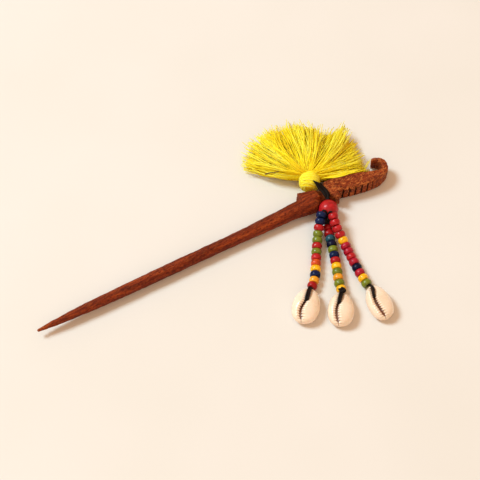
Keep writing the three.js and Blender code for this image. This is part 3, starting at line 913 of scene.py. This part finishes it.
def build_tie(side):
    """The doubled end of the strand's cord, over the shell and down into its slit."""
    shell = SHELLS[side]
    half = shell["length"] / 2
    tail_x, tail_y = shell["tie"]
    spread = 0.22 if side == "right" else 0.52
    parts = []
    for sign in (-1, 1):
        beside = sign * spread
        line = smooth_path([
            (sign * 0.2, half + 1.7, 2.7), (beside + 0.1 * tail_x, half + 0.4, 4.2),
            (beside + 0.3 * tail_x, half - 1.9, 6.6), (beside + 0.6 * tail_x, half - 4.4, 7.9),
            (beside + 0.9 * tail_x, tail_y + 1.6, 8.0), (0.8 * beside + tail_x, tail_y + 0.2, 7.5),
            (0.5 * beside + tail_x, tail_y - 0.3, 6.3),
        ], LINE_SPACING)
        parts.append(tube(placed(line, shell), CORD_RADIUS * 1.08, CORD_SIDES, CORD_TWIST))
    if side == "middle":
        ball = placed(np.array([[0.1, half - 0.1, 6.2]]), shell)[0]
        for spin, size in ((0.0, 1.0), (1.0, 0.75)):
            parts.append(knot(ball, unit((0.3, 0.5 - spin, 0.8)), size, spin))
    tie = cord_object(f"{side}_tie", parts)
    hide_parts(f"tie_{side}")
    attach(tie, f"shell_{side}_end")
    return tie


# ---- tassel
TASSEL_HEADING = np.array([0.4825, 0.876, 0.0])
TASSEL_ACROSS = np.array([0.876, -0.4825, 0.0])
TASSEL_BEARING = math.degrees(math.atan2(TASSEL_HEADING[0], TASSEL_HEADING[1]))
NECK_START = np.array([-14.6, 6.5, 5.75])
NECK_LENGTH = 8.0
NECK_PROFILE = np.array([(0.0, 1.7), (0.3, 2.8), (1.2, 4.3), (2.6, 5.1), (4.4, 5.35), (6.4, 5.2),
                         (8.0, 4.7)])
NECK_RINGS, NECK_SIDES = 22, 28
# pitch, slant and depth under the surface of each layer of yarn round the neck
YARN_LAYERS = ((0.46, 0.9, 0.32), (0.52, -1.5, 0.05))
YARN_RADIUS = 0.27
YARN_SIDES = 6
THREADS_START = NECK_START + TASSEL_HEADING * (NECK_LENGTH - 1.0)
# how far the threads reach from the neck, by the way they point (a turn from +Y towards +X)
REACH = np.array([(-50, 31.5), (-42, 33.5), (-30, 34.5), (0, 36.5), (20, 36), (32, 32.5), (45, 31.5),
                  (60, 35), (72, 33), (82, 30.5), (95, 28.5), (108, 28.5), (114, 29.5)])
FAN_START, FAN_END = -46, 105
CLUMP_COUNT = 124
THREADS_IN_CLUMP = 11
# bearing, height in the heap, how much longer than the reach there, and threads
EXTRA_CLUMPS = ((60, 1.3, 2.5, 18), (63, 1.2, 1.0, 14), (57, 1.2, 0.0, 12), (105, 0.85, 0.5, 14),
                (107, 0.75, 1.0, 12), (102, 0.9, 0.0, 12), (97, 0.7, 0.0, 12), (72, 0.5, 2.5, 8),
                (-45, 0.5, -0.5, 14), (-42, 0.7, 0.0, 14))
MOUTH_RADIUS = 4.1
THREAD_RADIUS = 0.2
THREAD_STEPS = 12
STRAY_FIBRE = [(-29.7, 25.1, 6.0), (-27.5, 23.9, 7.2), (-24.9, 22.4, 8.0), (-22.0, 21.7, 8.8)]


def neck_radius(along):
    return np.interp(along, NECK_PROFILE[:, 0], NECK_PROFILE[:, 1])


def neck_point(along, radius, angle):
    level = (radius * np.cos(angle))[:, None] * TASSEL_ACROSS
    return NECK_START + along[:, None] * TASSEL_HEADING + level + (radius * np.sin(angle))[:, None] * UP


def wound_layer(pitch, slant, inset):
    """One layer of yarn from end to end of the neck, and how far it has turned at each point."""
    turns = (NECK_LENGTH - 0.7) / pitch
    angle = np.arange(0, turns * 2 * np.pi, 2 * np.pi / 44)
    along = 0.35 + angle / (2 * np.pi) * pitch + slant * 0.5 * np.sin(angle + 0.6)
    along = along + 0.10 * np.sin(angle * 0.37 + 1.1) + 0.05 * np.sin(angle * 1.31)
    along = np.clip(along, 0.15, NECK_LENGTH - 0.1)
    uneven = 0.08 * np.sin(angle * 0.23) + 0.04 * np.sin(angle * 2.7)
    radius = neck_radius(along) - inset - 0.15 + uneven
    return tube(neck_point(along, radius, angle), YARN_RADIUS, YARN_SIDES), angle


def neck_core():
    """The closed body under the yarn."""
    along = np.linspace(0.05, NECK_LENGTH - 0.3, NECK_RINGS)
    angle = turn_angles(NECK_SIDES)
    whole = np.ones(NECK_SIDES)
    rings = [neck_point(a * whole, (neck_radius(a) - 0.65) * whole, angle) for a in along]
    ends = neck_point(along[[0, -1]], np.zeros(2), np.zeros(2))
    return np.concatenate([*rings, ends]), capped_faces(NECK_RINGS, NECK_SIDES)


def build_neck():
    """Yarn wound round the folded threads."""
    parts, tints_and_shades = [], []
    for layer, shape in enumerate(YARN_LAYERS):
        part, angle = wound_layer(*shape)
        parts.append(part)
        tints_and_shades.append(0.85 + 0.2 * np.sin(np.repeat(angle, YARN_SIDES) * 0.41 + layer))
        tints_and_shades.append(np.full(2, 0.6))
    core = neck_core()
    parts.append(core)
    # Painted shade: the core under the yarn gets a low tint.
    tints_and_shades.append(np.full(len(core[0]), 0.35))
    vertices, faces = joined(parts)
    neck = make_object("tassel_binding", vertices, faces, YELLOW)
    paint(neck, "tint_and_shade", np.concatenate(tints_and_shades))
    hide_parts("tassel_neck")
    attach(neck, "tassel")


def clumps(rng):
    """Bundles of threads: bearing at the ends, height in the heap (0 low, 1 high), length, threads."""
    found = []
    for i in range(CLUMP_COUNT):
        towards = mix(FAN_START, FAN_END, (i + rng.uniform(0, 1)) / CLUMP_COUNT)
        length = np.interp(towards, *REACH.T) + rng.normal(-0.4, 1.6)
        found.append((towards, rng.uniform(0, 1) ** 0.8, length, THREADS_IN_CLUMP))
    for towards, height, more, count in EXTRA_CLUMPS:
        found.append((towards, height, np.interp(towards, *REACH.T) + more, count))
    return found


def bezier(start, first, last, end, t):
    return ((1 - t) ** 3 * start + 3 * t * (1 - t) ** 2 * first
            + 3 * t * t * (1 - t) * last + t ** 3 * end)


def thread_line(rng, towards, height, length, bend, droop):
    """One thread of a clump, out of the neck's mouth, up over the heap and down to its end."""
    end_bearing = towards + rng.normal(0, 2.3)
    turn = end_bearing - TASSEL_BEARING
    layer = np.clip(height + rng.normal(0, 0.10), 0, 1.35)
    seat = np.clip(turn / 80 + rng.normal(0, 0.2), -1, 1)
    room = math.sqrt(max(0.0, 1 - seat * seat))
    start = THREADS_START + MOUTH_RADIUS * (TASSEL_ACROSS * seat + UP * room * (2 * min(layer, 1) - 1))
    reach = length + rng.normal(-0.4, 1.5)
    end = THREADS_START + bearing(end_bearing) * reach
    end[2] = mix(0.5, 4.6, layer ** 1.3) + rng.normal(0, 0.5)
    first = start + bearing(TASSEL_BEARING + turn * 1.18 + bend) * 0.33 * reach
    first[2] = start[2] + mix(-1.6, 2.4, layer)
    last = end - bearing(end_bearing - turn * 0.10 + droop + rng.normal(0, 5)) * 0.34 * reach
    last[2] = mix(0.6, 8.0, layer) + rng.normal(0, 0.4)
    t = np.linspace(0, 1, THREAD_STEPS)[:, None]
    wobble = rng.normal(0, 0.34, 3) * (1, 1, 0.6)
    sway = wobble * np.sin(t * rng.uniform(4, 10) + rng.uniform(0, 6)) * t
    return bezier(start, first, last, end, t) + sway


def thread_lines(rng):
    """Lines of all threads as one array (threads, points, 3), and each thread's tint: its own tone, and
    painted light that makes clumps higher in the heap lighter.
    """
    lines, tints_and_shades = [], []
    for towards, height, length, count in clumps(rng):
        # Painted light: clumps higher in the heap get a lighter tint.
        clump_tone_and_light = mix(0.25, 0.85, rng.uniform() * 0.6 + 0.4 * min(height, 1))
        bend = rng.normal(0, 10)
        droop = rng.normal(0, 9)
        for _ in range(count):
            lines.append(thread_line(rng, towards, height, length, bend, droop))
            tints_and_shades.append(np.clip(clump_tone_and_light + rng.normal(0, 0.13), 0, 1))
    return np.array(lines), np.array(tints_and_shades)


def clear_of_wood(lines):
    """Lifts threads over the head's far edge, and keeps them off the table."""
    flat = lines.reshape(-1, 3)
    away = outline_distance(flat[:, 0], flat[:, 1])
    lowest = 0.25 + (HEAD_THICKNESS + 0.1) * (1 - smoothstep(away, 1.1, 2.7))
    flat[:, 2] = np.maximum(flat[:, 2], lowest)
    return flat.reshape(lines.shape)


def rods(lines):
    """Closed four-sided rods along many lines at once, thinner at their ends."""
    tangents = np.gradient(lines, axis=1)
    tangents /= np.linalg.norm(tangents, axis=2, keepdims=True)
    across = np.cross(tangents, UP)
    across /= np.linalg.norm(across, axis=2, keepdims=True)
    over = np.cross(across, tangents)
    count, steps = lines.shape[:2]
    r = THREAD_RADIUS * mix(1.0, 0.75, smoothstep(np.linspace(0, 1, steps), 0.8, 1))[None, :, None]
    rings = np.stack([lines + r * across, lines + r * over, lines - r * across, lines - r * over], 2)
    last = (steps - 1) * 4
    one = np.concatenate([grid_faces(steps, 4), [[3, 2, 1, 0]], [[last, last + 1, last + 2, last + 3]]])
    faces = one[None] + (np.arange(count) * steps * 4)[:, None, None]
    return rings.reshape(-1, 3), faces.reshape(-1, 4)


def build_threads():
    lines, tints_and_shades = thread_lines(np.random.default_rng(7))
    vertices, faces = rods(clear_of_wood(lines))
    threads = make_object("tassel_threads_fan", vertices, faces, YELLOW)
    # Painted shade: threads darker where they leave the neck, inside the heap.
    shade_near_neck = mix(-0.25, 0.1, smoothstep(np.linspace(0, 1, THREAD_STEPS), 0, 0.5))
    tint_and_shade = np.clip(tints_and_shades[:, None] + shade_near_neck[None], 0, 1)
    paint(threads, "tint_and_shade", np.repeat(tint_and_shade.ravel(), 4))
    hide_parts("tassel_skirt")
    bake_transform(threads)


def build_stray_fibre():
    """A thin brown fibre caught in the tassel's left edge."""
    s = Shade("brown_fibre", Roughness=0.7)
    colour = s.ramp(s.noise((1, 3, 3)), (0.3, (0.04, 0.012, 0.006)), (0.7, (0.13, 0.05, 0.025)))
    line = smooth_path(STRAY_FIBRE, 0.3)
    radius = mix(0.28, 0.14, np.linspace(0, 1, len(line)))
    vertices, faces = tube(line, radius, 8)
    fibre = make_object("brown_fibre", vertices, faces, s.use(Base_Color=colour))
    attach(fibre, "tassel_threads")


# ---- camera, lights and table
VIEW_TARGET = np.array([-57.6, 0.4, 0.0])
CAMERA_PLACE = np.array([-199.4, -257.0, 470.2])
TABLE_HALF = 2500
TABLE_Z = -0.12
HORIZON_COLOUR = (0.97, 0.85, 0.73, 1)
SKY_COLOUR = (0.72, 0.432, 0.245, 1)


def look_at_target(thing, place):
    thing.location = place * MM
    thing.rotation_euler = Vector(VIEW_TARGET - place).to_track_quat("-Z", "Y").to_euler()


def build_camera():
    data = bpy.data.cameras.new("camera")
    data.lens = 85
    data.sensor_width = 36
    data.clip_start = 0.01
    camera = add_object("camera", data)
    look_at_target(camera, CAMERA_PLACE)
    bpy.context.scene.camera = camera


def area_light(name, offset, size, power, colour):
    data = bpy.data.lights.new(name, "AREA")
    data.shape = "DISK"
    data.size = size * MM
    data.energy = power
    data.color = colour
    look_at_target(add_object(name, data), VIEW_TARGET + np.array(offset))


def studio_world():
    """Warm light from above, paling to the table's colour at the horizon."""
    world = bpy.data.worlds.new("studio")
    world.use_nodes = True
    tree = world.node_tree
    direction = tree.nodes.new("ShaderNodeTexCoord")
    height = tree.nodes.new("ShaderNodeSeparateXYZ")
    shade = tree.nodes.new("ShaderNodeValToRGB")
    horizon, above = shade.color_ramp.elements
    horizon.position, horizon.color = 0.04, HORIZON_COLOUR
    above.position, above.color = 0.20, SKY_COLOUR
    tree.links.new(direction.outputs["Generated"], height.inputs["Vector"])
    tree.links.new(height.outputs["Z"], shade.inputs["Fac"])
    tree.links.new(shade.outputs["Color"], tree.nodes["Background"].inputs["Color"])
    return world


def build_table():
    s = Shade("table", Roughness=0.9, Specular_IOR_Level=0.1)
    tone = s.noise((0.01, 0.01, 0.01), detail=2)
    colour = s.ramp(tone, (0.3, (0.75, 0.745, 0.71)), (0.7, (0.775, 0.77, 0.745)))
    corners = [(TABLE_HALF * x, TABLE_HALF * y, TABLE_Z) for x, y in ((-1, -1), (1, -1), (1, 1), (-1, 1))]
    make_object("table", corners, [[0, 1, 2, 3]], s.use(Base_Color=colour))


def build_studio():
    build_table()
    bpy.context.scene.world = studio_world()
    area_light("key", (-1080, 1188, 2000), 960, 59, (0.73, 0.92, 1.0))
    area_light("fill", (-300, -900, 1000), 1200, 2.4, (1.0, 0.93, 0.84))
    bpy.context.scene.view_settings.view_transform = "Standard"


# ---- everything together
build_camera()
build_studio()
build_pin()
build_large_bead()
build_hanger()
build_knot()
for side_name in SIDES:
    strand_cord, cord_line, strand_beads = build_strand(side_name)
    shell_piece = build_shell(side_name)
    tie_piece = build_tie(side_name)
build_neck()
build_threads()
build_stray_fibre()
